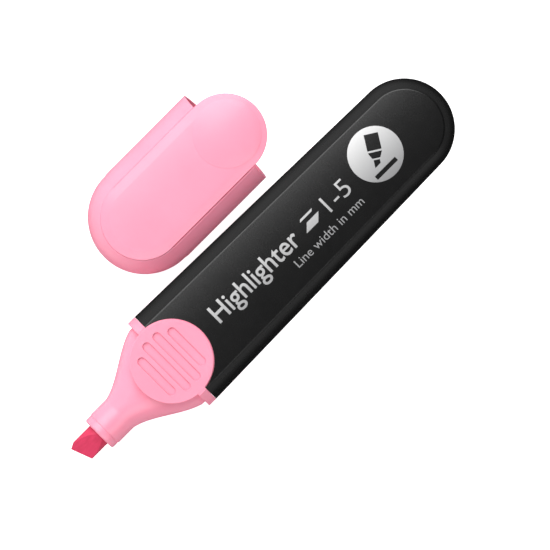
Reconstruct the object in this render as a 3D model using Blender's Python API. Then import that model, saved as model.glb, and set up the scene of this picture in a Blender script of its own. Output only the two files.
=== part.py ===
"""Flat highlighter with its cap off: the pen lies on its back, the cap lies beside it.

Units are metres. Each body is designed in its own frame: origin on the axis at the seam where the
cap meets the pen, +Y towards the pen's rear, +Z out of the face that carries the thumb disc. An empty
then lays each body on its flat back.
"""

import math

import bmesh
import bpy

MM = 0.001

# Driving dimensions, in millimetres
HALF_WIDTH = 12.7            # widest half-width, at the seam
HALF_DEPTH = 8.25            # half the thickness at the seam
PEN_SPACING = 26.66          # from the cap's axis to the pen's axis as they lie
MOUTH_AT = 16.13             # where the cap's mouth lies along Y
SEAM_AT = -28.13             # where the pen's seam lies along Y
JOIN_GAP = 0.3               # clearance between pieces that touch

BARREL_FRONT = 2.13
BARREL_ARC_AT = 73.34        # centre of the round rear end
BARREL_ARC_RADIUS = 11.17
BARREL_WALL = 1.2
BARREL_THINNING = 0.0227     # loss of half-depth per millimetre towards the rear
BARREL_BEVEL_FRONT = 3.1
BARREL_BEVEL_REAR = 2.6
RIB_FROM = 14.0
RIB_TO = 70.0
RIB_SPACING = 10.0
RIB_THICKNESS = 1.0

DISC_AT = 1.0
DISC_RADIUS = 9.2
DISC_TOP = 6.95
DISC_FOOT = 3.0
NOTCH_RADIUS = 9.35          # the cut-out in the barrel's face round the disc

SLEEVE_FRONT = -21.67
SLEEVE_RING_LENGTH = 1.7
SLEEVE_RING_RADIUS = 4.2
SLEEVE_RADIUS = 4.33
SLEEVE_EDGE = 0.4
SLEEVE_STEP = 0.1
NOSE_FROM = -15.2            # where the sleeve starts to flare
NOSE_FULL = -0.8             # where the flare reaches its full size
NOSE_HALF_WIDTH = 11.38
NOSE_HALF_DEPTH = 6.2
NOSE_SQUARENESS = 0.8        # how much boxier than an ellipse the nose gets
PLUG_FROM = 1.0
PLUG_END = 10.5
HOLLOW_FROM = -5.0           # the hollow behind the nose, open at the rear
HOLLOW_HALF_WIDTH = 8.1
HOLLOW_HALF_DEPTH = 4.15
NIB_TUBE_FROM = -12.0
NIB_TUBE_TO = 10.2
NIB_TUBE_RADIUS = 4.0

NIB_RADIUS = 2.76
NIB_TIP = -28.3
NIB_END = 14.0
NIB_SLANT = math.radians(20.6)
NIB_WEDGE = math.radians(23.0)
NIB_EDGE_HALF = 0.5          # half the thickness of the writing edge
NIB_EDGE_BACK = 0.8          # from the tip's corner back to the middle of the edge
NIB_CORNER = (-2.02, -28.26, 0)      # where the blunted corner meets the writing edge
NIB_CORNER_FACING = (-0.893, -0.45, 0)

CORE_FROM = 11.2
CORE_TO = 70.0
CORE_HALF_WIDTH = 7.4
CORE_HALF_DEPTH = 4.5
FILM_THICKNESS = 0.3
FILM_SHORTER = 0.5           # how much of the core each end of the film leaves bare

CAP_ARC_AT = -25.11          # centre of the round closed end
CAP_ARC_RADIUS = 12.55
CAP_BEVEL = 3.5
CAP_WALL = 1.1
CAP_LEVEL_PART = 8.0         # the back face stays level with the axis this far in from the mouth
CAP_THINNING = 0.07          # how fast the back face draws in beyond that, per millimetre
TONGUE_AT = 0.7
TONGUE_RADIUS = 9.1
FLUSH = 0.01                 # keeps two faces that meet from lying in one plane
CUT_PAST = 1.0               # how far a cutter runs past what it cuts

INNER_CAP_MOUTH = -16.0
INNER_CAP_END = -30.5
INNER_CAP_BORE = 4.6
INNER_CAP_WALL = 0.6

FLANK_LEVELS = 8
ARC_STEPS = 32
NOSE_SIDES = 40
NOSE_STEPS = 14
OVAL_STEPS = 16
ROUND_SIDES = 48
SMOOTH_ANGLE = math.radians(30)

PINK = (0.955, 0.44, 0.60, 1.0)
BLACK = (0.018, 0.018, 0.019, 1.0)
INK_PINK = (0.72, 0.052, 0.13, 1.0)
INK_SOAKED = (0.80, 0.16, 0.26, 1.0)
CLEAR_FILM = (0.80, 0.80, 0.82, 1.0)
MILK_WHITE = (0.82, 0.82, 0.80, 1.0)


def clear_scene():
    for item in list(bpy.data.objects):
        bpy.data.objects.remove(item, do_unlink=True)


def make_material(name, colour, roughness):
    material = bpy.data.materials.new(name)
    material.use_nodes = True
    shader = material.node_tree.nodes["Principled BSDF"]
    shader.inputs["Base Color"].default_value = colour
    shader.inputs["Roughness"].default_value = roughness
    shader.inputs["Metallic"].default_value = 0.0
    return material


def close_end(mesh_data, ring, bends):
    """Close an end ring that mirrors across x = 0: a strip before each bend, then the rest as one face."""
    for i in range(bends):
        mesh_data.faces.new((ring[i], ring[i + 1], ring[-2 - i], ring[-1 - i]))
    mesh_data.faces.new(ring[bends:len(ring) - bends])


def object_from_rings(name, rings, bends=0):
    """A closed solid from rings of equal length, listed from low to high."""
    mesh_data = bmesh.new()
    rows = []
    for ring in rings:
        rows.append([mesh_data.verts.new((x * MM, y * MM, z * MM)) for x, y, z in ring])
    for lower, upper in zip(rows, rows[1:]):
        for i in range(len(lower)):
            j = (i + 1) % len(lower)
            mesh_data.faces.new((lower[i], lower[j], upper[j], upper[i]))
    close_end(mesh_data, rows[0], bends)
    close_end(mesh_data, rows[-1], bends)
    bmesh.ops.recalc_face_normals(mesh_data, faces=mesh_data.faces)
    mesh = bpy.data.meshes.new(name)
    mesh_data.to_mesh(mesh)
    mesh_data.free()
    item = bpy.data.objects.new(name, mesh)
    bpy.context.collection.objects.link(item)
    return item


def shade(item, material):
    item.data.materials.clear()
    item.data.materials.append(material)
    item.data.shade_smooth()
    item.data.set_sharp_from_angle(angle=SMOOTH_ANGLE)


def combine(item, other, operation):
    """Join or cut item with other, a helper that is then removed."""
    modifier = item.modifiers.new(operation.title(), "BOOLEAN")
    modifier.operation = operation
    modifier.object = other
    bpy.context.view_layer.update()
    graph = bpy.context.evaluated_depsgraph_get()
    mesh = bpy.data.meshes.new_from_object(item.evaluated_get(graph), depsgraph=graph)
    item.modifiers.clear()
    item.data = mesh
    bpy.data.objects.remove(other, do_unlink=True)


def turned(name, profile, sides=ROUND_SIDES):
    """A solid of revolution about Y from (y, radius) points."""
    rings = []
    for y, radius in profile:
        angles = [2 * math.pi * i / sides for i in range(sides)]
        rings.append([(radius * math.sin(a), y, radius * math.cos(a)) for a in angles])
    return object_from_rings(name, rings)


def upright_disc(name, at_y, radius, low, high):
    """A round plate that stands on Z."""
    rings = []
    for z in (low, high):
        angles = [2 * math.pi * i / (2 * ARC_STEPS) for i in range(2 * ARC_STEPS)]
        rings.append([(radius * math.cos(a), at_y + radius * math.sin(a), z) for a in angles])
    return object_from_rings(name, rings)


def block(name, low, high):
    corners = [(low[0], low[1]), (high[0], low[1]), (high[0], high[1]), (low[0], high[1])]
    return object_from_rings(name, [[(x, y, z) for x, y in corners] for z in (low[2], high[2])])


def flat_body(name, stations, arc_at, arc_radius, half_width, bevel, near_depth, back_depth):
    """A flat body with bulging flanks, straight across at its first station and round at its other end.

    half_width, bevel, near_depth and back_depth are functions of y: the half-width, how far each flank
    leans in from the middle to the faces, and how far the near and back faces lie from the axis.
    """
    away = 1 if arc_at > stations[0] else -1
    rings = []
    for level in range(FLANK_LEVELS + 1):
        share = 2 * level / FLANK_LEVELS - 1
        lean = share * share
        side = [(half_width(y) - bevel(y) * lean, y) for y in stations]
        outline = list(side)
        radius = arc_radius - bevel(arc_at) * lean
        for step in range(ARC_STEPS + 1):
            angle = math.pi * step / ARC_STEPS
            outline.append((radius * math.cos(angle), arc_at + away * radius * math.sin(angle)))
        outline += [(-x, y) for x, y in reversed(side)]
        depth = near_depth if share > 0 else back_depth
        rings.append([(x, y, share * depth(y)) for x, y in outline])
    return object_from_rings(name, rings, len(stations) - 1)


def flat_band(name, start, end, half_width, bevel, top, bottom):
    """The same section with both ends straight across."""
    rings = []
    for level in range(FLANK_LEVELS + 1):
        share = 2 * level / FLANK_LEVELS - 1
        x = half_width - bevel * share * share
        z = share * (top if share > 0 else bottom)
        rings.append([(x, start, z), (x, end, z), (-x, end, z), (-x, start, z)])
    return object_from_rings(name, rings)


def barrel_half_width(y):
    share = (y - BARREL_FRONT) / (BARREL_ARC_AT - BARREL_FRONT)
    return HALF_WIDTH + (BARREL_ARC_RADIUS - HALF_WIDTH) * share


def barrel_half_depth(y):
    return HALF_DEPTH - BARREL_THINNING * y


def barrel_bevel(y):
    share = (y - BARREL_FRONT) / (BARREL_ARC_AT - BARREL_FRONT)
    return BARREL_BEVEL_FRONT + (BARREL_BEVEL_REAR - BARREL_BEVEL_FRONT) * share


def make_barrel(material):
    barrel = flat_body("barrel", (BARREL_FRONT, BARREL_ARC_AT / 2), BARREL_ARC_AT, BARREL_ARC_RADIUS,
                       barrel_half_width, barrel_bevel, barrel_half_depth, barrel_half_depth)
    cavity_half_depth = lambda y: barrel_half_depth(y) - BARREL_WALL
    cavity = flat_body("cavity", (BARREL_FRONT - CUT_PAST, BARREL_ARC_AT / 2), BARREL_ARC_AT,
                       BARREL_ARC_RADIUS - BARREL_WALL, lambda y: barrel_half_width(y) - BARREL_WALL,
                       barrel_bevel, cavity_half_depth, cavity_half_depth)
    rib_foot = CORE_HALF_DEPTH + FILM_THICKNESS + 2 * JOIN_GAP
    for side in (-1, 1):
        for face in (-1, 1):
            x = side * RIB_SPACING / 2
            heights = sorted((face * rib_foot, face * (HALF_DEPTH + CUT_PAST)))
            rib = block("rib", (x - RIB_THICKNESS / 2, RIB_FROM, heights[0]),
                        (x + RIB_THICKNESS / 2, RIB_TO, heights[1]))
            combine(cavity, rib, "DIFFERENCE")
    combine(barrel, cavity, "DIFFERENCE")
    notch = upright_disc("notch", DISC_AT, NOTCH_RADIUS, DISC_FOOT, HALF_DEPTH + CUT_PAST)
    combine(barrel, notch, "DIFFERENCE")
    shade(barrel, material)
    return barrel


def nose_section(y):
    """Half-width, half-depth and squareness of the nose at y, from the sleeve to the collar."""
    share = min(max((y - NOSE_FROM) / (NOSE_FULL - NOSE_FROM), 0.0), 1.0)
    eased = share * share * (3 - 2 * share)
    width_share = (eased + share ** 1.1) / 2
    width = SLEEVE_RADIUS + (NOSE_HALF_WIDTH - SLEEVE_RADIUS) * width_share
    depth = SLEEVE_RADIUS + (NOSE_HALF_DEPTH - SLEEVE_RADIUS) * share
    return width, depth, 2 + NOSE_SQUARENESS * share


def nose_ring(y, width, depth, squareness):
    ring = []
    for i in range(NOSE_SIDES):
        angle = 2 * math.pi * i / NOSE_SIDES
        x = math.copysign(abs(math.sin(angle)) ** (2 / squareness), math.sin(angle))
        z = math.copysign(abs(math.cos(angle)) ** (2 / squareness), math.cos(angle))
        ring.append((width * x, y, depth * z))
    return ring


def make_front_section(material):
    ring_end = SLEEVE_FRONT + SLEEVE_RING_LENGTH
    rings = [
        nose_ring(SLEEVE_FRONT, SLEEVE_RING_RADIUS - SLEEVE_EDGE, SLEEVE_RING_RADIUS - SLEEVE_EDGE, 2),
        nose_ring(SLEEVE_FRONT + SLEEVE_EDGE, SLEEVE_RING_RADIUS, SLEEVE_RING_RADIUS, 2),
        nose_ring(ring_end, SLEEVE_RING_RADIUS, SLEEVE_RING_RADIUS, 2),
        nose_ring(ring_end + SLEEVE_STEP, SLEEVE_RADIUS, SLEEVE_RADIUS, 2),
    ]
    for step in range(NOSE_STEPS + 1):
        y = NOSE_FROM * (1 - step / NOSE_STEPS)
        rings.append(nose_ring(y, *nose_section(y)))
    rings.append(nose_ring(PLUG_FROM / 2, *nose_section(0)))
    front = object_from_rings("front_section", rings)
    collar = flat_band("collar", 0, BARREL_FRONT - JOIN_GAP, HALF_WIDTH, BARREL_BEVEL_FRONT,
                       DISC_TOP - FLUSH, HALF_DEPTH)
    combine(front, collar, "UNION")
    plug_inset = BARREL_WALL + JOIN_GAP
    plug = flat_band("plug", PLUG_FROM, PLUG_END, barrel_half_width(PLUG_END) - plug_inset,
                     BARREL_BEVEL_FRONT, HALF_DEPTH - BARREL_WALL - 2 * JOIN_GAP,
                     barrel_half_depth(PLUG_END) - plug_inset)
    combine(front, plug, "UNION")
    disc = upright_disc("disc", DISC_AT, DISC_RADIUS, DISC_FOOT, DISC_TOP)
    combine(front, disc, "UNION")
    hollow = flat_band("hollow", HOLLOW_FROM, PLUG_END + CUT_PAST, HOLLOW_HALF_WIDTH, BARREL_BEVEL_FRONT,
                       HOLLOW_HALF_DEPTH, HOLLOW_HALF_DEPTH)
    tube = turned("tube", [(NIB_TUBE_FROM, NIB_TUBE_RADIUS), (NIB_TUBE_TO, NIB_TUBE_RADIUS)])
    combine(hollow, tube, "DIFFERENCE")
    combine(front, hollow, "DIFFERENCE")
    bore_radius = NIB_RADIUS + JOIN_GAP
    bore = turned("bore", [(SLEEVE_FRONT - CUT_PAST, bore_radius), (PLUG_END + CUT_PAST, bore_radius)])
    combine(front, bore, "DIFFERENCE")
    shade(front, material)
    return front


def slice_off(item, point, normal):
    """Cut away what lies on the normal's side of a plane, and close the cut."""
    mesh_data = bmesh.new()
    mesh_data.from_mesh(item.data)
    everything = mesh_data.verts[:] + mesh_data.edges[:] + mesh_data.faces[:]
    cut = bmesh.ops.bisect_plane(mesh_data, geom=everything, plane_co=[c * MM for c in point],
                                 plane_no=normal, clear_outer=True)
    rim = [e for e in cut["geom_cut"] if isinstance(e, bmesh.types.BMEdge)]
    bmesh.ops.contextual_create(mesh_data, geom=rim)
    bmesh.ops.recalc_face_normals(mesh_data, faces=mesh_data.faces)
    mesh_data.to_mesh(item.data)
    mesh_data.free()


def make_nib(material):
    """A round fibre rod cut to a wedge whose edge slants across the pen, its leading corner blunted."""
    nib = turned("nib", [(NIB_TIP - CUT_PAST, NIB_RADIUS), (NIB_END, NIB_RADIUS)], NOSE_SIDES)
    forward = (math.sin(NIB_SLANT), -math.cos(NIB_SLANT))
    edge_point = (0, NIB_TIP + NIB_EDGE_BACK, 0)
    for face in (-1, 1):
        lean = math.sin(NIB_WEDGE)
        normal = (forward[0] * lean, forward[1] * lean, face * math.cos(NIB_WEDGE))
        slice_off(nib, (0, edge_point[1], face * NIB_EDGE_HALF), normal)
    slice_off(nib, edge_point, (forward[0], forward[1], 0))
    slice_off(nib, NIB_CORNER, NIB_CORNER_FACING)
    shade(nib, material)
    return nib


def oval_section(half_width, half_depth, y):
    """A ring with round sides and flat faces, across the pen."""
    ring = []
    for side in (1, -1):
        for step in range(OVAL_STEPS + 1):
            angle = math.pi * step / OVAL_STEPS
            x = half_width - half_depth + half_depth * math.sin(angle)
            ring.append((side * x, y, side * half_depth * math.cos(angle)))
    return ring


def oval_rod(name, half_width, half_depth, start, end):
    return object_from_rings(name, [oval_section(half_width, half_depth, y) for y in (start, end)])


def make_reservoir(core_material, film_material):
    core = oval_rod("reservoir_core", CORE_HALF_WIDTH, CORE_HALF_DEPTH, CORE_FROM, CORE_TO)
    pocket_radius = NIB_RADIUS + JOIN_GAP
    pocket = turned("pocket", [(CORE_FROM - CUT_PAST, pocket_radius), (NIB_END + JOIN_GAP, pocket_radius)])
    combine(core, pocket, "DIFFERENCE")
    shade(core, core_material)
    inner = JOIN_GAP
    outer = JOIN_GAP + FILM_THICKNESS
    film = oval_rod("reservoir_film", CORE_HALF_WIDTH + outer, CORE_HALF_DEPTH + outer,
                    CORE_FROM + FILM_SHORTER, CORE_TO - FILM_SHORTER)
    inside = oval_rod("inside", CORE_HALF_WIDTH + inner, CORE_HALF_DEPTH + inner,
                      CORE_FROM - CUT_PAST, CORE_TO + CUT_PAST)
    combine(film, inside, "DIFFERENCE")
    shade(film, film_material)
    return core, film


def cap_near_depth(y):
    return HALF_DEPTH


def cap_back_depth(y):
    return HALF_DEPTH + CAP_THINNING * min(y + CAP_LEVEL_PART, 0)


def make_cap_shell(material):
    stations = (0, -CAP_LEVEL_PART)
    shell = flat_body("cap_shell", stations, CAP_ARC_AT, CAP_ARC_RADIUS,
                      lambda y: HALF_WIDTH, lambda y: CAP_BEVEL, cap_near_depth, cap_back_depth)
    tongue = upright_disc("tongue", TONGUE_AT, TONGUE_RADIUS, HALF_DEPTH - CAP_WALL + FLUSH,
                          HALF_DEPTH - FLUSH)
    combine(shell, tongue, "UNION")
    hollow = flat_body("hollow", (CUT_PAST, -CAP_LEVEL_PART), CAP_ARC_AT, CAP_ARC_RADIUS - CAP_WALL,
                       lambda y: HALF_WIDTH - CAP_WALL, lambda y: CAP_BEVEL,
                       lambda y: cap_near_depth(y) - CAP_WALL, lambda y: cap_back_depth(y) - CAP_WALL)
    combine(shell, hollow, "DIFFERENCE")
    shade(shell, material)
    return shell


def make_inner_cap(material):
    """A round cup that closes on the nib sleeve."""
    outer_radius = INNER_CAP_BORE + INNER_CAP_WALL
    cup = turned("inner_cap", [(INNER_CAP_END, outer_radius), (INNER_CAP_MOUTH, outer_radius)])
    bore = turned("bore", [(INNER_CAP_END + 2 * INNER_CAP_WALL, INNER_CAP_BORE),
                           (INNER_CAP_MOUTH + CUT_PAST, INNER_CAP_BORE)])
    combine(cup, bore, "DIFFERENCE")
    shade(cup, material)
    return cup


def lay_on_back(name, pieces, x, y, tilt, back_depth):
    """Put a body's pieces under an empty that tilts it until its back face lies level at z = 0."""
    frame = bpy.data.objects.new(name, None)
    bpy.context.collection.objects.link(frame)
    frame.rotation_euler = (tilt, 0, 0)
    frame.location = (x * MM, y * MM, back_depth * math.cos(tilt) * MM)
    for piece in pieces:
        piece.parent = frame


def main():
    clear_scene()
    pink = make_material("pink_plastic", PINK, 0.35)
    black = make_material("black_plastic", BLACK, 0.35)
    nib_fibre = make_material("nib_fibre", INK_PINK, 0.8)
    soaked_fibre = make_material("soaked_fibre", INK_SOAKED, 0.9)
    film = make_material("film", CLEAR_FILM, 0.2)
    seal_plastic = make_material("seal_plastic", MILK_WHITE, 0.4)

    core, film_sleeve = make_reservoir(soaked_fibre, film)
    pen = [make_barrel(black), make_front_section(pink), make_nib(nib_fibre), core, film_sleeve]
    cap = [make_cap_shell(pink), make_inner_cap(seal_plastic)]
    pen_tilt = -math.atan(BARREL_THINNING)
    cap_tilt = math.atan(CAP_THINNING)
    lay_on_back("pen_frame", pen, PEN_SPACING / 2, SEAM_AT, pen_tilt, HALF_DEPTH)
    cap_back = HALF_DEPTH + CAP_THINNING * CAP_LEVEL_PART
    lay_on_back("cap_frame", cap, -PEN_SPACING / 2, MOUTH_AT, cap_tilt, cap_back)


main()
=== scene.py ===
"""Looks of a flat highlighter lying on its back with its cap beside it.

The pen and the cap are each modelled in a frame of their own, in millimetres: origin on the axis at
the seam where the cap meets the pen, +Y towards the pen's rear, +Z out of the face with the thumb
disc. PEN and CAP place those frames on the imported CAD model.
"""

import math

import bmesh
import bpy
from mathutils import Matrix, Vector


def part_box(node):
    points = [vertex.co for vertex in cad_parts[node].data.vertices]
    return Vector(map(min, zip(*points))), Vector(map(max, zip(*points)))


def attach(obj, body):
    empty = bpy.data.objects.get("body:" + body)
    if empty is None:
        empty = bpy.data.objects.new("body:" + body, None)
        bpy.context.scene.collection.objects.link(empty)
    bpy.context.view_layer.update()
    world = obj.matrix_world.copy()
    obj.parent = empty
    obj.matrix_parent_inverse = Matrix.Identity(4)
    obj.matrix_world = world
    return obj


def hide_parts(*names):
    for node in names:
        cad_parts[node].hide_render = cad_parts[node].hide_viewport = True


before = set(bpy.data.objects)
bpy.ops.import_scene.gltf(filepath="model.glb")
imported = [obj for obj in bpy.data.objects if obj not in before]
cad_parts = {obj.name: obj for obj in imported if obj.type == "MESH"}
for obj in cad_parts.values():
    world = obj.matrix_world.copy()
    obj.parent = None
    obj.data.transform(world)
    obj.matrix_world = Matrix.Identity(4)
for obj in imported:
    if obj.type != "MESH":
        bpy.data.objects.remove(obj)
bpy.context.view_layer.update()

MM = 0.001

# The CAD model's driving dimensions, in millimetres
HALF_WIDTH = 12.7
HALF_DEPTH = 8.25
BARREL_FRONT = 2.13
BARREL_ARC_AT = 73.34
BARREL_ARC_RADIUS = 11.17
BARREL_WALL = 1.2
BARREL_THINNING = 0.0227
BARREL_BEVEL_FRONT = 3.1
BARREL_BEVEL_REAR = 2.6
DISC_AT = 1.0
DISC_RADIUS = 9.2
DISC_TOP = 6.95
NOTCH_RADIUS = 9.33
SLEEVE_FRONT = -21.67
SLEEVE_RADIUS = 4.33
COLLAR_THINNER = 0.02        # the collar's near face lies this far below the disc's
PLUG_HALF_WIDTH = 11.05      # the part of the front section inside the barrel
PLUG_SHALLOWER = 1.8
PLUG_END = 10.5
NOSE_FROM = -15.2
NOSE_FULL = -0.8
NOSE_HALF_WIDTH = 11.38
NOSE_HALF_DEPTH = 6.2
NOSE_SQUARENESS = 0.8
NIB_RADIUS = 2.76
NIB_TIP = -28.3
NIB_END = 14.0
NIB_SLANT = math.radians(20.6)
NIB_WEDGE = math.radians(23)
NIB_CORNER = (-2.02, -28.26, 0)
NIB_CORNER_FACING = (-0.893, -0.45, 0)
CAP_ARC_AT = -25.11
CAP_ARC_RADIUS = 12.55
CAP_SIDE_BEVEL = 3.25
CAP_LEVEL_PART = 8.0
CAP_THINNING = 0.07
TONGUE_AT = 0.7
INNER_CAP_MOUTH = -16.0
INNER_CAP_END = -30.5
INNER_CAP_BORE = 4.6
INNER_CAP_WALL = 0.6

# Fine shape that the CAD model leaves out
CROWN = 0.4                  # how far the barrel's near face bulges
BARREL_ROUNDING = 0.25       # of the edges between faces and flanks
NOTCH_CHAMFER = 0.15         # at the top of the barrel's round cut-out
CAP_LEDGE = 0.9              # how far the cap's body lies below its near face
CAP_ROUNDING = 0.1
SEAM_DEPTH = 0.24            # of the fine seam round the lid's foot
SEAM_FADE = 1.0              # length over which the seam fades out at the mouth
CAP_WALL = 0.9
ROOF_CLEARANCE = 0.1         # left under the seam, over the cap's hollow
LID_HALF_WIDTH = 9.13
LID_THICKNESS = 1.2
LID_ROUNDING = 0.1
LID_EDGE = -0.6              # height of the lid's edge over the nominal face
LID_CROWN = 0.5
BORDER = 2.0                 # width of the lid's sloping border
BORDER_SLOPE = 0.16
BORDER_KNEE = 0.08           # how sharply the border meets the crown
DOME_RADIUS = 7.58
DOME_AHEAD = 0.5             # from the tongue's centre to the dome's
DOME_RISE = 0.65
DOME_STEP = 0.07             # the crisp edge round the dome
CUP_LIP = 0.25               # rounding of the inner cup's mouth
SLEEVE_LIP = 0.45            # rounding of the nib sleeve's front
SLEEVE_RING_RADIUS = 4.2     # of the narrow ring at the nib sleeve's front
COLLAR_ROUNDING = 0.12
DISC_ROUNDING = 0.14
GROOVE_DEPTH = 0.5
GROOVE_HALF_WIDTH = 0.95
GROOVE_PITCH = 3.1
GROOVES_WITHIN = 7.2         # the grooves' ends lie on a circle of this radius
BORE_CLEARANCE = 0.06        # round the nib
NIB_EDGE_AT = 0.8            # from the nominal tip back to the writing edge's middle
NIB_EDGE_HALF_THICKNESS = 0.5
NIB_BEVEL = 0.12
PRINT_HALF_THICKNESS = 0.03

PEN_TILT = -math.atan(BARREL_THINNING)
CAP_TILT = math.atan(CAP_THINNING)


def place(x, y, tilt, back_depth):
    """A body's frame in world millimetres, tilted until its back face lies level at z = 0."""
    return Matrix.Translation((x, y, back_depth * math.cos(tilt))) @ Matrix.Rotation(tilt, 4, "X")


def pen_place():
    low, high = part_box("barrel")
    rear = (BARREL_ARC_AT + BARREL_ARC_RADIUS) * math.cos(PEN_TILT)
    return place((low.x + high.x) / 2 / MM, high.y / MM - rear, PEN_TILT, HALF_DEPTH)


def cap_place():
    low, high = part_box("cap_shell")
    end = (CAP_ARC_AT - CAP_ARC_RADIUS) * math.cos(CAP_TILT)
    back = HALF_DEPTH + CAP_THINNING * CAP_LEVEL_PART
    return place((low.x + high.x) / 2 / MM, low.y / MM - end, CAP_TILT, back)


PEN = pen_place()
CAP = cap_place()


# ---------------------------------------------------------------- mesh helpers

def mesh_object(name, mesh_data, place_at):
    """A bmesh in millimetres becomes an object in world metres."""
    bmesh.ops.recalc_face_normals(mesh_data, faces=mesh_data.faces)
    mesh_data.transform(Matrix.Scale(MM, 4) @ place_at)
    mesh = bpy.data.meshes.new(name)
    mesh_data.to_mesh(mesh)
    mesh_data.free()
    item = bpy.data.objects.new(name, mesh)
    bpy.context.scene.collection.objects.link(item)
    return item


def combine(item, other, operation):
    """Join or cut item with other, a helper that is then removed."""
    modifier = item.modifiers.new(operation.title(), "BOOLEAN")
    modifier.operation = operation
    modifier.object = other
    bpy.context.view_layer.update()
    graph = bpy.context.evaluated_depsgraph_get()
    mesh = bpy.data.meshes.new_from_object(item.evaluated_get(graph), depsgraph=graph)
    item.modifiers.clear()
    item.data = mesh
    bpy.data.objects.remove(other, do_unlink=True)


def finish_piece(item, material, body, replaced=(), angle=32):
    """Material, smooth shading up to an angle in degrees, and the piece's place in the part."""
    item.data.materials.clear()
    item.data.materials.append(material)
    item.data.shade_smooth()
    item.data.set_sharp_from_angle(angle=math.radians(angle))
    weighted = item.modifiers.new("Weighted normals", "WEIGHTED_NORMAL")
    weighted.keep_sharp = True
    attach(item, body)
    if replaced:
        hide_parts(*replaced)
    return item


def skin(mesh_data, rows, closed):
    """Quads between rows of points. A closed row joins its ends. Returns the rows as vertices."""
    grid = [[mesh_data.verts.new(point) for point in row] for row in rows]
    for lower, upper in zip(grid, grid[1:]):
        count = len(lower)
        for i in range(count if closed else count - 1):
            j = (i + 1) % count
            mesh_data.faces.new((lower[i], lower[j], upper[j], upper[i]))
    return grid


def close_along_middle(mesh_data, row):
    """Fill between the two halves of a row that mirror each other across x = 0."""
    count = len(row)
    for i in range(count // 2):
        corners = (row[i], row[i + 1], row[count - 2 - i], row[count - 1 - i])
        distinct = list(dict.fromkeys(corners))
        if len(distinct) > 2:
            mesh_data.faces.new(distinct)


def bridge(mesh_data, loop, other):
    """Quads between two closed loops."""
    count = len(loop)
    for i in range(count):
        j = (i + 1) % count
        mesh_data.faces.new((loop[i], loop[j], other[j], other[i]))


def spread(low, high, steps):
    """Evenly spaced numbers, both ends included."""
    return [low + (high - low) * i / steps for i in range(steps + 1)]


def close_ends(mesh_data, grid):
    """One face over each end of a skin."""
    mesh_data.faces.new(grid[0])
    mesh_data.faces.new(grid[-1])


def turned(profile, sides):
    """A solid turned about Y from (y, radius) points."""
    mesh_data = bmesh.new()
    rows = []
    for y, radius in profile:
        angles = [2 * math.pi * i / sides for i in range(sides)]
        rows.append([(radius * math.sin(a), y, radius * math.cos(a)) for a in angles])
    close_ends(mesh_data, skin(mesh_data, rows, True))
    return mesh_data


def upright(profile, at_x, at_y, sides):
    """A solid turned about Z from (z, radius) points."""
    mesh_data = bmesh.new()
    rows = []
    for z, radius in profile:
        angles = [2 * math.pi * i / sides for i in range(sides)]
        rows.append([(at_x + radius * math.cos(a), at_y + radius * math.sin(a), z) for a in angles])
    close_ends(mesh_data, skin(mesh_data, rows, True))
    return mesh_data


# ---------------------------------------------------------------- flat shells

class Spoke:
    """One point of a flat body's outline: a centre on the axis, a direction and how far it reaches."""

    def __init__(self, centre_y, across, along, reach, bevel):
        self.centre_y = centre_y
        self.across = across
        self.along = along
        self.reach = reach
        self.bevel = bevel

    def at(self, inset):
        length = self.reach - inset
        return self.across * length, self.centre_y + self.along * length


def open_outline(stations, arc_at, arc_radius, half_width, bevel, arc_steps=64):
    """Spokes down one side from the open end, round the far end and back up the other side."""
    away = 1 if arc_at > stations[0] else -1
    side = [(y, half_width(y), bevel(y)) for y in stations]
    spokes = [Spoke(y, 1, 0, reach, lean) for y, reach, lean in side]
    for step in range(arc_steps + 1):
        angle = math.pi * step / arc_steps
        spokes.append(Spoke(arc_at, math.cos(angle), away * math.sin(angle), arc_radius, bevel(arc_at)))
    spokes += [Spoke(y, -1, 0, reach, lean) for y, reach, lean in reversed(side)]
    return spokes


def flank_point(spoke, share, depth, wall, top_drop):
    """A point on the bulging flank: share runs from -1 at the back face to 1 at the near face."""
    x, y = spoke.at(wall + spoke.bevel * share * share)
    side = 1 if share > 0 else -1
    height = depth(y, side) - wall - (top_drop if side > 0 else 0.0)
    return Vector((x, y, share * height))


def face_point(spoke, distance, side, depth, relief, wall=0.0):
    """A point on the near (1) or back (-1) face, a distance in from its edge, short of its middle."""
    width = spoke.reach - spoke.bevel - wall
    inward = min(distance, width - 0.05)
    x, y = spoke.at(wall + spoke.bevel + inward)
    return Vector((x, y, side * (depth(y, side) - wall) + relief(x, y, inward, width)))


def corner(start, middle, end, steps=6):
    """Points of a rounded corner, a quadratic curve, without its two ends."""
    points = []
    for step in range(1, steps):
        t = step / steps
        points.append(start * (1 - t) ** 2 + middle * 2 * t * (1 - t) + end * t * t)
    return points


def no_relief(x, y, distance, width):
    return 0.0


def inward_steps(width, first):
    """Distances from a face's edge to its middle, close together near the edge. first is under 0.27."""
    fixed = [first, first + 0.03, 0.3, 0.6, 1.1]
    return fixed + [1.1 + (width - 1.1) * share for share in (0.08, 0.18, 0.3, 0.44, 0.58, 0.72, 0.86, 1.0)]


def shell_profile(spoke, depth, relief, top_drop, wall, rounding):
    """Points from the middle of the back face round the flank to the middle of the near face."""
    width = spoke.reach - spoke.bevel - wall

    def top(distance):
        return face_point(spoke, distance, 1, depth, relief, wall)

    def back(distance):
        return face_point(spoke, distance, -1, depth, no_relief, wall)

    last = 1 - rounding * 1.25 / HALF_DEPTH      # the flank's share where the rounded corner starts
    side = [flank_point(spoke, share, depth, wall, top_drop) for share in spread(-last, last, 24)]
    steps = inward_steps(width, rounding)
    points = [back(distance) for distance in reversed(steps)]
    points += corner(points[-1], back(0.0), side[0])
    points += side
    points += corner(side[-1], top(0.0), top(rounding))
    points += [top(distance) for distance in steps]
    return points


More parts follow.
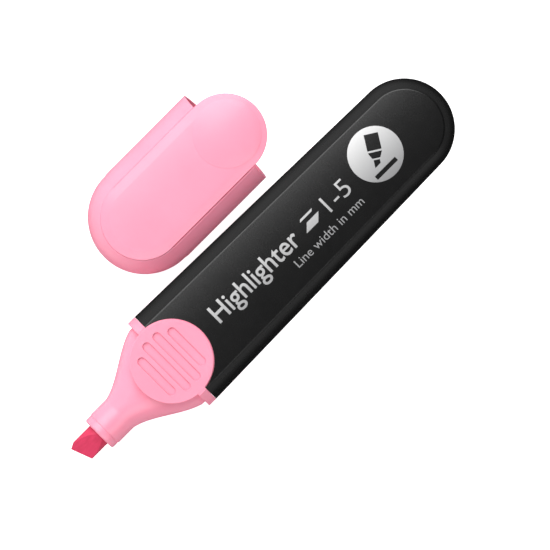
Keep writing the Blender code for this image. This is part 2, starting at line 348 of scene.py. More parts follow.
def flat_shell(spokes, depth, wall, relief, top_drop, rounding, roof_drop=0.0):
    """A hollow flat body, open at its first station: outer skin, inner skin and the rim between.

    depth is a function of y and the side: how far the near (1) and back (-1) faces lie from the axis.
    relief shapes the near face, whose edge lies top_drop below that. The near wall is thicker than
    the others by roof_drop.
    """
    def roof(x, y, distance, width):
        return -roof_drop

    mesh_data = bmesh.new()
    grids = []
    for inset in (0.0, wall):
        surface = relief if inset == 0.0 else roof
        drop = top_drop if inset == 0.0 else roof_drop
        profiles = [shell_profile(spoke, depth, surface, drop, inset, rounding) for spoke in spokes]
        grid = skin(mesh_data, list(zip(*profiles)), False)
        close_along_middle(mesh_data, grid[0])
        close_along_middle(mesh_data, grid[-1])
        grids.append(grid)
    loops = [[row[0] for row in grid] + [row[-1] for row in reversed(grid)] for grid in grids]
    bridge(mesh_data, loops[0], loops[1])
    return mesh_data


# ---------------------------------------------------------------- barrel

def barrel_share(y):
    return (y - BARREL_FRONT) / (BARREL_ARC_AT - BARREL_FRONT)


def barrel_half_width(y):
    return HALF_WIDTH + (BARREL_ARC_RADIUS - HALF_WIDTH) * barrel_share(y)


def barrel_depth(y, side):
    return HALF_DEPTH - BARREL_THINNING * y


def barrel_bevel(y):
    return BARREL_BEVEL_FRONT + (BARREL_BEVEL_REAR - BARREL_BEVEL_FRONT) * barrel_share(y)


def barrel_relief(x, y, distance, width):
    """The near face's low crown, level with the CAD model in the middle."""
    share = min(distance / width, 1.0)
    return -CROWN * (1 - share) ** 2


def barrel_face_height(x, y):
    """Height of the near face at a point, for what is printed on it."""
    width = barrel_half_width(y) - barrel_bevel(y)
    return barrel_depth(y, 1) + barrel_relief(x, y, width - abs(x), width)


def make_barrel(material):
    stations = spread(BARREL_FRONT, BARREL_ARC_AT, 36)[:-1]
    spokes = open_outline(stations, BARREL_ARC_AT, BARREL_ARC_RADIUS, barrel_half_width, barrel_bevel)
    shell = flat_shell(spokes, barrel_depth, BARREL_WALL, barrel_relief, CROWN, BARREL_ROUNDING)
    barrel = mesh_object("barrel_shell", shell, PEN)
    rim = HALF_DEPTH - CROWN - 0.12
    notch = upright([(5.0, NOTCH_RADIUS), (rim, NOTCH_RADIUS),
                     (HALF_DEPTH + 0.5, NOTCH_RADIUS + NOTCH_CHAMFER)], 0, DISC_AT, 128)
    combine(barrel, mesh_object("notch", notch, PEN), "DIFFERENCE")
    barrel.visible_diffuse = False       # it doesn't darken the cap's flank beside it
    return finish_piece(barrel, material, "pen", ["barrel"])


# ---------------------------------------------------------------- front section

def nose_ring(y, width, depth, squareness, sides=112):
    """A ring of a superellipse: round at squareness 2, and squarer above."""
    ring = []
    for i in range(sides):
        angle = 2 * math.pi * i / sides
        x = math.copysign(abs(math.sin(angle)) ** (2 / squareness), math.sin(angle))
        z = math.copysign(abs(math.cos(angle)) ** (2 / squareness), math.cos(angle))
        ring.append((width * x, y, depth * z))
    return ring


def nose_section(y):
    """Half width, half depth and squareness of the nose at y, from the sleeve to the collar."""
    share = min(max((y - NOSE_FROM) / (NOSE_FULL - NOSE_FROM), 0.0), 1.0)
    eased = share * share * (3 - 2 * share)
    width_share = (eased + share ** 1.1) / 2
    width = SLEEVE_RADIUS + (NOSE_HALF_WIDTH - SLEEVE_RADIUS) * width_share
    depth = SLEEVE_RADIUS + (NOSE_HALF_DEPTH - SLEEVE_RADIUS) * share
    return width, depth, 2 + NOSE_SQUARENESS * share


def sleeve_profile():
    """The nib sleeve: a rounded front lip, a narrow end ring, a fine groove and the sleeve proper."""
    points = []
    for step in range(7):
        angle = math.pi / 2 * step / 6
        y = SLEEVE_FRONT + SLEEVE_LIP * (1 - math.sin(angle))
        points.append((y, SLEEVE_RING_RADIUS - SLEEVE_LIP * (1 - math.cos(angle))))
    points.sort()
    groove_radius = SLEEVE_RING_RADIUS - 0.05
    points += [(-20.1, SLEEVE_RING_RADIUS), (-20.0, groove_radius), (-19.92, groove_radius),
               (-19.82, SLEEVE_RADIUS - 0.02), (-19.6, SLEEVE_RADIUS)]
    points += [(y, SLEEVE_RADIUS) for y in spread(-19.0, NOSE_FROM - 0.4, 6)]
    return points


def make_nose():
    rings = [nose_ring(y, radius, radius, 2) for y, radius in sleeve_profile()]
    rings += [nose_ring(y, *nose_section(y)) for y in spread(NOSE_FROM, 0.6, 64)]
    mesh_data = bmesh.new()
    close_ends(mesh_data, skin(mesh_data, rings, True))
    return mesh_object("front_moulding", mesh_data, PEN)


def band_ring(y, half_width, bevel, top, bottom, shrink):
    """A ring round a flat body's section at y."""
    shares = spread(-1, 1, 28)
    right = []
    for share in shares:
        x = half_width - shrink - bevel * share * share
        z = share * ((top if share > 0 else bottom) - shrink)
        right.append((x, y, z))
    return right + [(-x, y_at, z) for x, y_at, z in reversed(right)]


def flat_band(start, end, half_width, bevel, top, bottom, rounded):
    """A short flat body with its front edge rounded."""
    mesh_data = bmesh.new()
    ends = [(start, rounded), (start + rounded * 0.3, rounded * 0.3), (start + rounded, 0), (end, 0)]
    rings = [band_ring(y, half_width, bevel, top, bottom, shrink) for y, shrink in ends]
    close_ends(mesh_data, skin(mesh_data, rings, True))
    return mesh_data


def disc_profile():
    """The thumb disc's side and its rounded edge, from inside the nose upwards."""
    points = [(3.0, DISC_RADIUS)]
    for step in range(7):
        angle = math.pi / 2 * step / 6
        z = DISC_TOP - DISC_ROUNDING * (1 - math.sin(angle))
        points.append((z, DISC_RADIUS - DISC_ROUNDING * (1 - math.cos(angle))))
    return points


def grip_groove(at_y, half_length, half_width):
    """A shallow slot with round ends and sloping sides, across the disc."""
    mesh_data = bmesh.new()
    rows = []
    for z, grow in ((DISC_TOP - GROOVE_DEPTH, -0.08), (DISC_TOP - 0.08, 0.0), (DISC_TOP + 0.1, 0.14)):
        radius = half_width + grow
        row = []
        for side in (1, -1):
            for step in range(13):
                angle = math.pi * step / 12 - math.pi / 2
                x = side * (half_length - half_width + radius * math.cos(angle))
                row.append((x, at_y + side * radius * math.sin(angle), z))
        rows.append(row)
    close_ends(mesh_data, skin(mesh_data, rows, True))
    return mesh_data


def add_collar_and_plug(front):
    """The collar that shows in front of the barrel, and the plug inside it."""
    collar = flat_band(0, BARREL_FRONT - 0.03, HALF_WIDTH, BARREL_BEVEL_FRONT,
                       DISC_TOP - COLLAR_THINNER, HALF_DEPTH, COLLAR_ROUNDING)
    combine(front, mesh_object("collar", collar, PEN), "UNION")
    depth = HALF_DEPTH - PLUG_SHALLOWER
    plug = flat_band(1.0, PLUG_END, PLUG_HALF_WIDTH, BARREL_BEVEL_FRONT, depth, depth, 0.4)
    combine(front, mesh_object("plug", plug, PEN), "UNION")


def add_disc(front):
    """The round thumb disc with its four grip grooves."""
    disc = upright(disc_profile(), 0, DISC_AT, 128)
    combine(front, mesh_object("disc", disc, PEN), "UNION")
    for count in (-1.5, -0.5, 0.5, 1.5):
        off_centre = GROOVE_PITCH * count
        reach = math.sqrt(GROOVES_WITHIN ** 2 - off_centre ** 2)
        groove = grip_groove(DISC_AT + off_centre, reach, GROOVE_HALF_WIDTH)
        combine(front, mesh_object("groove", groove, PEN), "DIFFERENCE")


def make_front_section(material):
    front = make_nose()
    add_collar_and_plug(front)
    add_disc(front)
    bore_radius = NIB_RADIUS + BORE_CLEARANCE
    bore = turned([(SLEEVE_FRONT - 1, bore_radius), (11, bore_radius)], 96)
    combine(front, mesh_object("bore", bore, PEN), "DIFFERENCE")
    return finish_piece(front, material, "pen", ["front_section"])


# ---------------------------------------------------------------- nib

def slice_off(mesh_data, point, normal):
    """Cut away what lies on the normal's side of a plane, and close the cut."""
    everything = mesh_data.verts[:] + mesh_data.edges[:] + mesh_data.faces[:]
    cut = bmesh.ops.bisect_plane(mesh_data, geom=everything, plane_co=point, plane_no=normal,
                                 clear_outer=True)
    rim = [e for e in cut["geom_cut"] if isinstance(e, bmesh.types.BMEdge)]
    bmesh.ops.contextual_create(mesh_data, geom=rim)


def make_nib(material):
    stations = spread(NIB_TIP - 2, NIB_END, 60)
    mesh_data = turned([(y, NIB_RADIUS) for y in stations], 96)
    forward = Vector((math.sin(NIB_SLANT), -math.cos(NIB_SLANT), 0))
    edge = Vector((0, NIB_TIP + NIB_EDGE_AT, 0))
    for face in (-1, 1):
        normal = forward * math.sin(NIB_WEDGE) + Vector((0, 0, face * math.cos(NIB_WEDGE)))
        slice_off(mesh_data, edge + Vector((0, 0, face * NIB_EDGE_HALF_THICKNESS)), normal)
    slice_off(mesh_data, edge, forward)
    slice_off(mesh_data, Vector(NIB_CORNER), Vector(NIB_CORNER_FACING))
    nib = mesh_object("chisel_nib", mesh_data, PEN)
    bevel = nib.modifiers.new("Soft edges", "BEVEL")
    bevel.width = NIB_BEVEL * MM
    bevel.segments = 3
    bevel.limit_method = "ANGLE"
    bevel.angle_limit = math.radians(25)
    return finish_piece(nib, material, "pen", ["nib"], 40)


# ---------------------------------------------------------------- cap

def cap_depth(y, side):
    """The near face is level with the axis, and the back face draws in towards the closed end."""
    if side > 0:
        return HALF_DEPTH
    return HALF_DEPTH + CAP_THINNING * min(y + CAP_LEVEL_PART, 0)


def lid_relief(x, y, distance, width):
    """The lid's top: a sloping border round a low crown."""
    share = min(distance / width, 1.0)
    crown = LID_CROWN * (1 - (1 - share) ** 2)
    past = (BORDER - distance) / BORDER_KNEE
    border = BORDER_SLOPE * (BORDER - BORDER_KNEE * math.log1p(math.exp(min(past, 40.0))))
    return LID_EDGE + crown + border


def lid_height(x, y):
    """Height of the lid's top at a point."""
    off_axis = y - min(max(y, CAP_ARC_AT), TONGUE_AT)
    distance = LID_HALF_WIDTH - math.hypot(x, off_axis)
    return HALF_DEPTH + lid_relief(x, y, distance, LID_HALF_WIDTH)


def make_dome():
    """The shallow round dome that rises from the lid over the tongue, with a crisp edge."""
    centre = TONGUE_AT + DOME_AHEAD
    radii = [DOME_RADIUS, DOME_RADIUS] + [DOME_RADIUS * share for share in spread(1, 0.02, 18)[1:]]
    rows = []
    for count, radius in enumerate(radii):
        row = []
        for step in range(144):
            angle = 2 * math.pi * step / 144
            x, y = radius * math.cos(angle), centre + radius * math.sin(angle)
            rise = DOME_STEP + DOME_RISE * (1 - (radius / DOME_RADIUS) ** 2)
            row.append((x, y, HALF_DEPTH - 1.0 if count == 0 else lid_height(x, y) + rise))
        rows.append(row)
    mesh_data = bmesh.new()
    close_ends(mesh_data, skin(mesh_data, rows, True))
    return mesh_object("dome", mesh_data, CAP)


def lid_spoke(centre_y, across, along):
    return Spoke(centre_y, across, along, LID_HALF_WIDTH, 0.0)


def lid_outline(steps=56):
    """Spokes round the near face: the tongue's tip, one side, the closed end and the other side."""
    half = [lid_spoke(TONGUE_AT, 0.0, 1.0)]
    for step in range(1, steps + 1):
        angle = math.pi / 2 * (1 - step / steps)
        half.append(lid_spoke(TONGUE_AT, math.cos(angle), math.sin(angle)))
    for y in spread(TONGUE_AT, CAP_ARC_AT, 64)[1:-1]:
        half.append(lid_spoke(y, 1.0, 0.0))
    for step in range(steps):
        angle = math.pi / 2 * step / steps
        half.append(lid_spoke(CAP_ARC_AT, math.cos(angle), -math.sin(angle)))
    half.append(lid_spoke(CAP_ARC_AT, 0.0, -1.0))
    other = [lid_spoke(s.centre_y, -s.across, s.along) for s in reversed(half[1:-1])]
    return half + other


def close_ring(mesh_data, ring):
    """Fill a closed ring that mirrors across x = 0 and starts on it."""
    count = len(ring)
    for i in range(count // 2):
        corners = (ring[i], ring[i + 1], ring[(count - i - 1) % count], ring[(count - i) % count])
        distinct = list(dict.fromkeys(corners))
        if len(distinct) > 2:
            mesh_data.faces.new(distinct)


def lid_underside(x, y, distance, width):
    return -LID_THICKNESS


def lid_profile(spoke):
    """Points from under the lid's middle round its edge to the middle of its top."""
    def top(distance):
        return face_point(spoke, distance, 1, cap_depth, lid_relief)

    middle = LID_HALF_WIDTH - 0.05
    low = [face_point(spoke, distance, 1, cap_depth, lid_underside) for distance in (middle, 6, 3, 1, 0)]
    edge = top(0.0)
    below = Vector((edge.x, edge.y, edge.z - LID_ROUNDING))
    steps = [LID_ROUNDING, 0.5, 1.0] + spread(1.4, 2.6, 8) + spread(3.0, middle, 14)
    rounded = corner(below, edge, top(LID_ROUNDING), 4)
    return low + [below] + rounded + [top(distance) for distance in steps]


def make_lid():
    """The cap's near face and the tongue that carries on past the mouth, as one plate."""
    mesh_data = bmesh.new()
    profiles = [lid_profile(spoke) for spoke in lid_outline()]
    grid = skin(mesh_data, list(zip(*profiles)), True)
    close_ring(mesh_data, grid[0])
    close_ring(mesh_data, grid[-1])
    return mesh_object("lid", mesh_data, CAP)


def cap_ledge(x, y, distance, width):
    """The rim of the cap's body, then a drop into the fine seam round the lid's foot.

    The seam is deepest on the +X side and fades out at the mouth.
    """
    if distance < CAP_ROUNDING + 0.02:
        return -CAP_LEDGE
    share = 0.5 + 0.5 * x / LID_HALF_WIDTH
    return -CAP_LEDGE - SEAM_DEPTH * min(max(share, 0.0), 1.0) * min(max(-y, 0.0) / SEAM_FADE, 1.0)


def make_cap(material):
    stations = spread(0, CAP_ARC_AT, 30)[:-1]
    spokes = open_outline(stations, CAP_ARC_AT, CAP_ARC_RADIUS, lambda y: HALF_WIDTH,
                          lambda y: CAP_SIDE_BEVEL, 72)
    roof_drop = CAP_LEDGE + SEAM_DEPTH + ROOF_CLEARANCE - CAP_WALL
    shell = flat_shell(spokes, cap_depth, CAP_WALL, cap_ledge, CAP_LEDGE, CAP_ROUNDING, roof_drop)
    cap = mesh_object("cap_body", shell, CAP)
    lid = make_lid()
    combine(lid, make_dome(), "UNION")
    combine(cap, lid, "UNION")
    cap.visible_glossy = False           # the barrel doesn't mirror it
    return finish_piece(cap, material, "cap", ["cap_shell"])


def make_inner_cap(material):
    outer = INNER_CAP_BORE + INNER_CAP_WALL
    end, mouth, bore = INNER_CAP_END, INNER_CAP_MOUTH, INNER_CAP_BORE
    outside = [(end, 0.02), (end, outer - 0.5), (end + 0.15, outer - 0.15), (end + 0.5, outer),
               (mouth - CUP_LIP, outer), (mouth - 0.07, outer - 0.07), (mouth, outer - CUP_LIP)]
    seal_bead = [(mouth - 0.1, bore + 0.05), (mouth - 0.5, bore - 0.08), (mouth - 0.9, bore)]
    inside = [(end + 1.5, bore), (end + 1.2, bore - 0.3), (end + 1.2, 0.02)]
    cup = mesh_object("seal_cup", turned(outside + seal_bead + inside, 96), CAP)
    cup.visible_glossy = False           # the barrel doesn't mirror it through the cap
    return finish_piece(cup, material, "cap", ["inner_cap"])


# ---------------------------------------------------------------- materials

# Painted light and shade on the silver print: lighter towards the key light on the pen's cap side, darker
# away from it
SILVER_PAINTED_LIT = (0.54, 0.54, 0.54)
SILVER_PAINTED_SHADE = (0.21, 0.21, 0.215)
SILVER_PAINTED_LIT_AT = -7        # millimetres from the pen's axis, towards its cap side
SILVER_PAINTED_SHADE_AT = 6


def new_material(name, colour, roughness):
    material = bpy.data.materials.new(name)
    material.use_nodes = True
    shader = material.node_tree.nodes["Principled BSDF"]
    shader.inputs["Base Color"].default_value = (*colour, 1)
    shader.inputs["Roughness"].default_value = roughness
    return material, material.node_tree, shader


def noise_on(tree, scale, detail, stretch=(1, 1, 1)):
    """Noise in object coordinates, which are metres."""
    coordinates = tree.nodes.new("ShaderNodeTexCoord")
    mapping = tree.nodes.new("ShaderNodeMapping")
    mapping.inputs["Scale"].default_value = stretch
    noise = tree.nodes.new("ShaderNodeTexNoise")
    noise.inputs["Scale"].default_value = scale
    noise.inputs["Detail"].default_value = detail
    tree.links.new(coordinates.outputs["Object"], mapping.inputs["Vector"])
    tree.links.new(mapping.outputs["Vector"], noise.inputs["Vector"])
    return noise.outputs["Fac"]


def ramp(tree, source, stops):
    """A colour for each (position, colour) stop, and a blend between."""
    node = tree.nodes.new("ShaderNodeValToRGB")
    while len(node.color_ramp.elements) < len(stops):
        node.color_ramp.elements.new(0.5)
    for element, (position, colour) in zip(node.color_ramp.elements, stops):
        element.position = position
        element.color = (*colour, 1)
    tree.links.new(source, node.inputs["Fac"])
    return node.outputs["Color"]


def bump(tree, shader, source, strength, distance):
    node = tree.nodes.new("ShaderNodeBump")
    node.inputs["Strength"].default_value = strength
    node.inputs["Distance"].default_value = distance * MM
    tree.links.new(source, node.inputs["Height"])
    tree.links.new(node.outputs["Normal"], shader.inputs["Normal"])


def moulded_plastic(name, dark, light, roughness, grain, specular):
    """Moulded plastic: a faint drift of colour, an uneven sheen and a fine grain."""
    material, tree, shader = new_material(name, dark, roughness)
    drift = noise_on(tree, 90, 3)
    tree.links.new(ramp(tree, drift, [(0.3, dark), (0.7, light)]), shader.inputs["Base Color"])
    sheen = noise_on(tree, 500, 3)
    low, high = roughness * 0.96, roughness * 1.04
    tree.links.new(ramp(tree, sheen, [(0.3, (low,) * 3), (0.7, (high,) * 3)]), shader.inputs["Roughness"])
    bump(tree, shader, noise_on(tree, 2600, 2), grain, 0.02)
    shader.inputs["Specular IOR Level"].default_value = specular
    return material, shader


def pink_plastic():
    material, shader = moulded_plastic("pink_plastic", (0.79, 0.257, 0.355), (0.80, 0.275, 0.377),
                                       0.29, 0.06, 0.33)
    shader.inputs["Subsurface Weight"].default_value = 0.2
    shader.inputs["Subsurface Radius"].default_value = (1.0, 0.45, 0.5)
    shader.inputs["Subsurface Scale"].default_value = 1.2 * MM
    return material


def black_plastic():
    return moulded_plastic("black_plastic", (0.0028, 0.0028, 0.0029), (0.004, 0.004, 0.0041),
                           0.27, 0.04, 0.31)[0]


def seal_plastic():
    material, shader = moulded_plastic("seal_plastic", (0.80, 0.80, 0.78), (0.84, 0.84, 0.82), 0.42, 0.1, 0.4)
    shader.inputs["Subsurface Weight"].default_value = 0.3
    shader.inputs["Subsurface Scale"].default_value = 1.5 * MM
    return material


def fibre(name, dark, light, stretch, roughness, strength):
    """Pressed fibre: fine strands that run along the pen, unevenly soaked."""
    material, tree, shader = new_material(name, dark, roughness)
    strands = noise_on(tree, 1400, 3, stretch)
    tree.links.new(ramp(tree, strands, [(0.3, dark), (0.7, light)]), shader.inputs["Base Color"])
    bump(tree, shader, strands, strength, 0.05)
    shader.inputs["Specular IOR Level"].default_value = 0.3
    return material


def clear_film():
    material, tree, shader = new_material("film", (0.85, 0.85, 0.87), 0.15)
    haze = noise_on(tree, 300, 3)
    tree.links.new(ramp(tree, haze, [(0.3, (0.1,) * 3), (0.7, (0.25,) * 3)]), shader.inputs["Roughness"])
    shader.inputs["Alpha"].default_value = 0.35
    return material


def silver_print():
    """Silver ink, a little uneven, with painted shade: brighter towards the pen's cap side, where the key
    light falls, and darker away from it.
    """
    material, tree, shader = new_material("silver_print", (0.75, 0.75, 0.76), 0.4)
    coordinates = tree.nodes.new("ShaderNodeTexCoord")
    split = tree.nodes.new("ShaderNodeSeparateXYZ")
    tree.links.new(coordinates.outputs["Object"], split.inputs["Vector"])
    # painted shade across the print, from its lit side to its shaded side
    painted_shade_span = tree.nodes.new("ShaderNodeMapRange")
    middle = PEN.translation.x
    painted_shade_span.inputs["From Min"].default_value = (middle + SILVER_PAINTED_LIT_AT) * MM
    painted_shade_span.inputs["From Max"].default_value = (middle + SILVER_PAINTED_SHADE_AT) * MM
    tree.links.new(split.outputs["X"], painted_shade_span.inputs["Value"])
    colour = ramp(tree, painted_shade_span.outputs["Result"], [(0.0, SILVER_PAINTED_LIT), (1.0, SILVER_PAINTED_SHADE)])
    tree.links.new(colour, shader.inputs["Base Color"])
    bump(tree, shader, noise_on(tree, 3000, 2), 0.1, 0.01)
    shader.inputs["Metallic"].default_value = 0.3
    return material


# ---------------------------------------------------------------- print

BADGE_RADIUS = 6.2
BADGE_LEAN = math.radians(32)    # of the marker in the badge's picture


def drape(item, at_x, at_y):
    """Turn a flat drawing so that it reads along the pen, and lay it on the barrel's near face."""
    mesh_data = bmesh.new()
    mesh_data.from_mesh(item.data)
    bpy.data.objects.remove(item, do_unlink=True)
    bmesh.ops.remove_doubles(mesh_data, verts=mesh_data.verts, dist=0.001)
    for vertex in mesh_data.verts:
        across, along, height = -vertex.co.y, vertex.co.x, vertex.co.z
        vertex.co = (at_x + across, at_y + along, height)
    xs = [vertex.co.x for vertex in mesh_data.verts]
    strips = max(2, int((max(xs) - min(xs)) / 0.5))
    for x in spread(min(xs), max(xs), strips)[1:-1]:
        everything = mesh_data.verts[:] + mesh_data.edges[:] + mesh_data.faces[:]
        bmesh.ops.bisect_plane(mesh_data, geom=everything, plane_co=(x, 0, 0), plane_no=(1, 0, 0))
    for vertex in mesh_data.verts:
        vertex.co.z += barrel_face_height(vertex.co.x, vertex.co.y)
    return mesh_data


def typeset(name, words, heavier):
    """A mesh of words in the built-in typeface, a little heavier or lighter."""
    text = bpy.data.curves.new(name, "FONT")
    text.body = words
    text.size = 1.0
    text.offset = heavier
    text.extrude = 0.01
    text.resolution_u = 6
    item = bpy.data.objects.new(name, text)
    bpy.context.scene.collection.objects.link(item)
    bpy.context.view_layer.update()
    mesh = bpy.data.meshes.new_from_object(item)
    bpy.data.objects.remove(item, do_unlink=True)
    return mesh


def printed(name, flat, at_x, at_y, material):
    """A flat drawing becomes a piece on the barrel."""
    piece = mesh_object(name, drape(flat, at_x, at_y), PEN)
    return finish_piece(piece, material, "pen")


def lettering(name, words, at_x, at_y, length, height, heavier, material):
    """Raised lettering of a stated length and capital height, in millimetres."""
    mesh = typeset(name, words, heavier)
    xs = [v.co.x for v in mesh.vertices]
    ys = [v.co.y for v in mesh.vertices]
    for vertex in mesh.vertices:
        vertex.co.x = (vertex.co.x - min(xs)) / (max(xs) - min(xs)) * length
        vertex.co.y = vertex.co.y / max(ys) * height
        vertex.co.z = PRINT_HALF_THICKNESS if vertex.co.z > 0 else -PRINT_HALF_THICKNESS
    return printed(name, bpy.data.objects.new(name, mesh), at_x, at_y, material)


def plate(name, outline, lowest=-PRINT_HALF_THICKNESS, highest=PRINT_HALF_THICKNESS):
    """A thin plate from an outline of (along, across) points."""
    mesh_data = bmesh.new()
    rows = [[(x, y, z) for x, y in outline] for z in (lowest, highest)]
    close_ends(mesh_data, skin(mesh_data, rows, True))
    bmesh.ops.recalc_face_normals(mesh_data, faces=mesh_data.faces)
    mesh = bpy.data.meshes.new(name)
    mesh_data.to_mesh(mesh)
    mesh_data.free()
    item = bpy.data.objects.new(name, mesh)
    bpy.context.scene.collection.objects.link(item)
    return item


def stroke(x, y, length, thickness, slant=0.5):
    """The outline of a straight marker stroke, its ends cut at a slant."""
    lean = thickness * slant
    top = y + thickness
    return [(x - lean, y), (x + length - lean, y), (x + length + lean, top), (x + lean, top)]


def print_swatch(material):
    """A thin and a broad marker stroke."""
    for number, (across, thickness) in enumerate(((3.1, 0.5), (0.4, 1.7))):
        flat = plate("swatch", stroke(0.9, across, 3.6, thickness))
        printed("print_stroke_%d" % (number + 1), flat, 1.5, 41.6, material)


def leaning(outline, angle):
    """Turn an outline about its origin."""
    return [(x * math.cos(angle) - y * math.sin(angle), x * math.sin(angle) + y * math.cos(angle))
            for x, y in outline]


def print_badge(material):
    """A round silver badge with a plain picture left open in it: a marker over its own line."""
    angles = [2 * math.pi * i / 96 for i in range(96)]
    badge = plate("badge", [(BADGE_RADIUS * math.cos(a), BADGE_RADIUS * math.sin(a)) for a in angles])
    body = [(-1.6, 0.9), (1.6, 0.9), (1.6, 4.6), (-1.6, 4.6)]
    shoulder = [(-0.9, -0.9), (0.9, -0.9), (1.6, 0.5), (-1.6, 0.5)]
    nib = [(-0.7, -3.0), (0.7, -2.1), (0.7, -1.25), (-0.7, -1.25)]
    cuts = [leaning(part, -BADGE_LEAN) for part in (body, shoulder, nib)]
    cuts.append(stroke(-3.6, -4.4, 6.2, 1.0, 0.0))
    for outline in cuts:
        combine(badge, plate("cut", outline, -1, 1), "DIFFERENCE")
    printed("print_badge", badge, -0.57, 64.6, material)


def new_look(node_name, material):
    """A CAD node that stays as it is gets a material."""
    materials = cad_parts[node_name].data.materials
    materials.clear()
    materials.append(material)


def print_barrel(silver):
    """Everything that is printed on the barrel."""
    lettering("print_main_word", "Highlighter", 1.65, 14.4, 25.3, 4.3, 0.01, silver)
    lettering("print_width_mark", "1-5", 1.65, 48.7, 6.8, 4.0, -0.006, silver)
    lettering("print_small_line", "Line width in mm", 5.3, 35.2, 20.3, 1.9, 0.0, silver)
    print_swatch(silver)
    print_badge(silver)


def main():
    pink = pink_plastic()
    black = black_plastic()
    barrel = make_barrel(black)
    make_front_section(pink)
    make_nib(fibre("nib_fibre", (0.48, 0.022, 0.072), (0.56, 0.029, 0.091), (1, 0.04, 1), 0.55, 0.35))
    make_cap(pink)
    make_inner_cap(seal_plastic())
    print_barrel(silver_print())
    new_look("reservoir_core",
             fibre("soaked_fibre", (0.78, 0.14, 0.24), (0.86, 0.2, 0.3), (1, 0.03, 1), 0.8, 0.5))
    new_look("reservoir_film", clear_film())
    return barrel


# ---------------------------------------------------------------- stage

# Lengths are in metres here, and energies in watts
VIEW_WIDTH = 0.1209          # width of the view at the pen's middle height
VIEW_CENTRE = Vector((0.01593, 0.00236, 0.008))
CAMERA_DISTANCE = 1.25
KEY_ENERGY = 8.65
FILL_ENERGY = 3.2
KEY_SIZE = (0.8, 0.62)
KEY_AT = (-0.394, 0.24, 0.542)
KEY_TOWARDS = (0, 0.24, 0)
FILL_SIZE = (0.9, 0.4)
FILL_AT = (0.38, -0.28, 0.56)
FILL_TOWARDS = (0, -0.05, 0)
WORLD_LIT_FROM = (-0.9, 0.0, 0.44)   # the studio's bright side: the left and above
WORLD_HIGH = 0.5
WORLD_LOW = 0.02
WORLD_STRIP = 0.35           # a soft patch on the right
WORLD_STRIP_FROM = 0.85      # where it starts, as a direction's X
WORLD_FRONT = 0.5            # a soft patch in front of the nib
WORLD_FRONT_TO = -0.6        # where it ends, as a direction's Y
WORLD_BAND = 0.33            # a brighter band round the studio, below the horizon
WORLD_BAND_AT = -0.22        # its middle, as a direction's Z
WORLD_BAND_FADE = (0.1, 0.5)     # how far off its middle it starts and ends to fade
WORLD_BAND_NARROWING = 0.09  # the band is narrower by this on the right
FLOOR_GLOW = 0.95            # keeps the floor white, with no shadow


def make_camera():
    """Straight down, turned so that the pen lies across the view from corner to corner."""
    data = bpy.data.cameras.new("camera")
    data.sensor_width = 36
    data.lens = data.sensor_width * CAMERA_DISTANCE / VIEW_WIDTH
    camera = bpy.data.objects.new("camera", data)
    camera.location = VIEW_CENTRE + Vector((0, 0, CAMERA_DISTANCE))
    camera.rotation_euler = (0, 0, math.radians(45))
    bpy.context.scene.collection.objects.link(camera)
    bpy.context.scene.camera = camera


def make_floor():
    mesh_data = bmesh.new()
    bmesh.ops.create_grid(mesh_data, x_segments=1, y_segments=1, size=3)
    mesh = bpy.data.meshes.new("floor")
    mesh_data.to_mesh(mesh)
    mesh_data.free()
    floor = bpy.data.objects.new("floor", mesh)
    bpy.context.scene.collection.objects.link(floor)
    material, tree, shader = new_material("floor", (0.5, 0.5, 0.5), 0.9)
    shader.inputs["Specular IOR Level"].default_value = 0.1
    shader.inputs["Emission Color"].default_value = (1, 1, 1, 1)
    shader.inputs["Emission Strength"].default_value = FLOOR_GLOW
    mesh.materials.append(material)
    floor.visible_glossy = False         # flanks mirror the world below the horizon instead


def make_light(name, energy, size, location, target):
    data = bpy.data.lights.new(name, "AREA")
    data.energy = energy
    data.shape = "RECTANGLE"
    data.size, data.size_y = size
    light = bpy.data.objects.new(name, data)
    light.location = location
    light.rotation_euler = (Vector(target) - Vector(location)).to_track_quat("-Z", "Y").to_euler()
    bpy.context.scene.collection.objects.link(light)
    return light


def left_out(name, *items):
    """A collection that names the pieces that a light leaves out."""
    collection = bpy.data.collections.new(name)
    for item in items:
        collection.objects.link(item)
    for entry in collection.collection_objects:
        entry.light_linking.link_state = "EXCLUDE"
    return collection


def smooth_range(tree, source, low, high, to_low, to_high):
    node = tree.nodes.new("ShaderNodeMapRange")
    node.interpolation_type = "SMOOTHSTEP"
    node.inputs["From Min"].default_value = low
    node.inputs["From Max"].default_value = high
    node.inputs["To Min"].default_value = to_low
    node.inputs["To Max"].default_value = to_high
    tree.links.new(source, node.inputs["Value"])
    return node.outputs["Result"]


def calculate(tree, operation, *values):
    """A Math node on sockets or plain numbers."""
    node = tree.nodes.new("ShaderNodeMath")
    node.operation = operation
    for socket, value in zip(node.inputs, values):
        if isinstance(value, bpy.types.NodeSocket):
            tree.links.new(value, socket)
        else:
            socket.default_value = value
    return node.outputs["Value"]


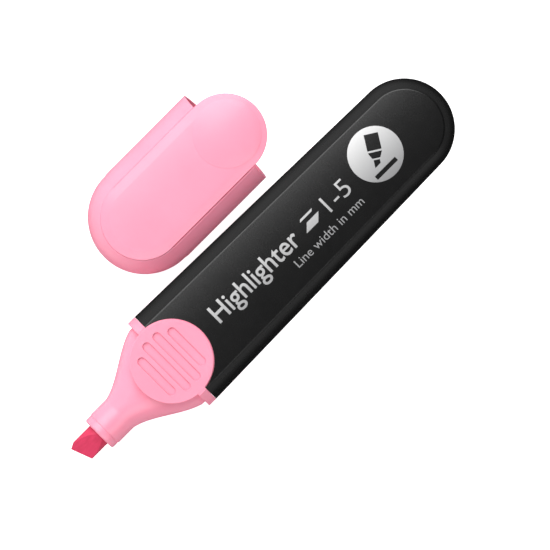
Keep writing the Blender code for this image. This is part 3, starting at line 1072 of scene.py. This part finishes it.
def lit_side(tree, direction):
    """The studio's brightness, from its dark side to its bright one."""
    lean = tree.nodes.new("ShaderNodeVectorMath")
    lean.operation = "DOT_PRODUCT"
    lean.inputs[1].default_value = WORLD_LIT_FROM
    tree.links.new(direction, lean.inputs[0])
    return smooth_range(tree, lean.outputs["Value"], -0.1, 1.0, WORLD_LOW, WORLD_HIGH)


def low_band(tree, x, z):
    """The brightness of the band below the horizon."""
    off_band = calculate(tree, "ABSOLUTE", calculate(tree, "SUBTRACT", z, WORLD_BAND_AT))
    right = calculate(tree, "MAXIMUM", calculate(tree, "MULTIPLY", x, WORLD_BAND_NARROWING), 0.0)
    return smooth_range(tree, calculate(tree, "ADD", off_band, right), *WORLD_BAND_FADE, WORLD_BAND, 0.0)


def make_world():
    """A studio that is bright on the left and above, with a low band and two soft patches."""
    world = bpy.data.worlds.new("world")
    world.use_nodes = True
    tree = world.node_tree
    background = tree.nodes["Background"]
    direction = tree.nodes.new("ShaderNodeTexCoord").outputs["Generated"]
    split = tree.nodes.new("ShaderNodeSeparateXYZ")
    tree.links.new(direction, split.inputs["Vector"])
    x, y, z = (split.outputs[axis] for axis in "XYZ")
    brightness = calculate(tree, "ADD", lit_side(tree, direction), low_band(tree, x, z))
    for patch in (smooth_range(tree, x, WORLD_STRIP_FROM, 1.0, 0.0, WORLD_STRIP),
                  smooth_range(tree, y, -1.0, WORLD_FRONT_TO, WORLD_FRONT, 0.0)):
        brightness = calculate(tree, "ADD", brightness, patch)
    tree.links.new(brightness, background.inputs["Strength"])
    background.inputs["Color"].default_value = (1, 1, 1, 1)
    world.cycles.sampling_method = "NONE"        # only rays that bounce off a surface meet it
    bpy.context.scene.world = world


def make_stage(barrel):
    """Floor, lights and world.

    The key light passes through the barrel, which so doesn't shade the disc that lies lower. It leaves
    out what the barrel hides.
    """
    make_floor()
    key = make_light("key", KEY_ENERGY, KEY_SIZE, KEY_AT, KEY_TOWARDS)
    key.light_linking.blocker_collection = left_out("passed", barrel)
    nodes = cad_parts
    hidden = left_out("unlit", nodes["reservoir_core"], nodes["reservoir_film"])
    key.light_linking.receiver_collection = hidden
    make_light("fill", FILL_ENERGY, FILL_SIZE, FILL_AT, FILL_TOWARDS)
    make_world()
    bpy.context.scene.view_settings.view_transform = "Standard"


make_camera()
make_stage(main())
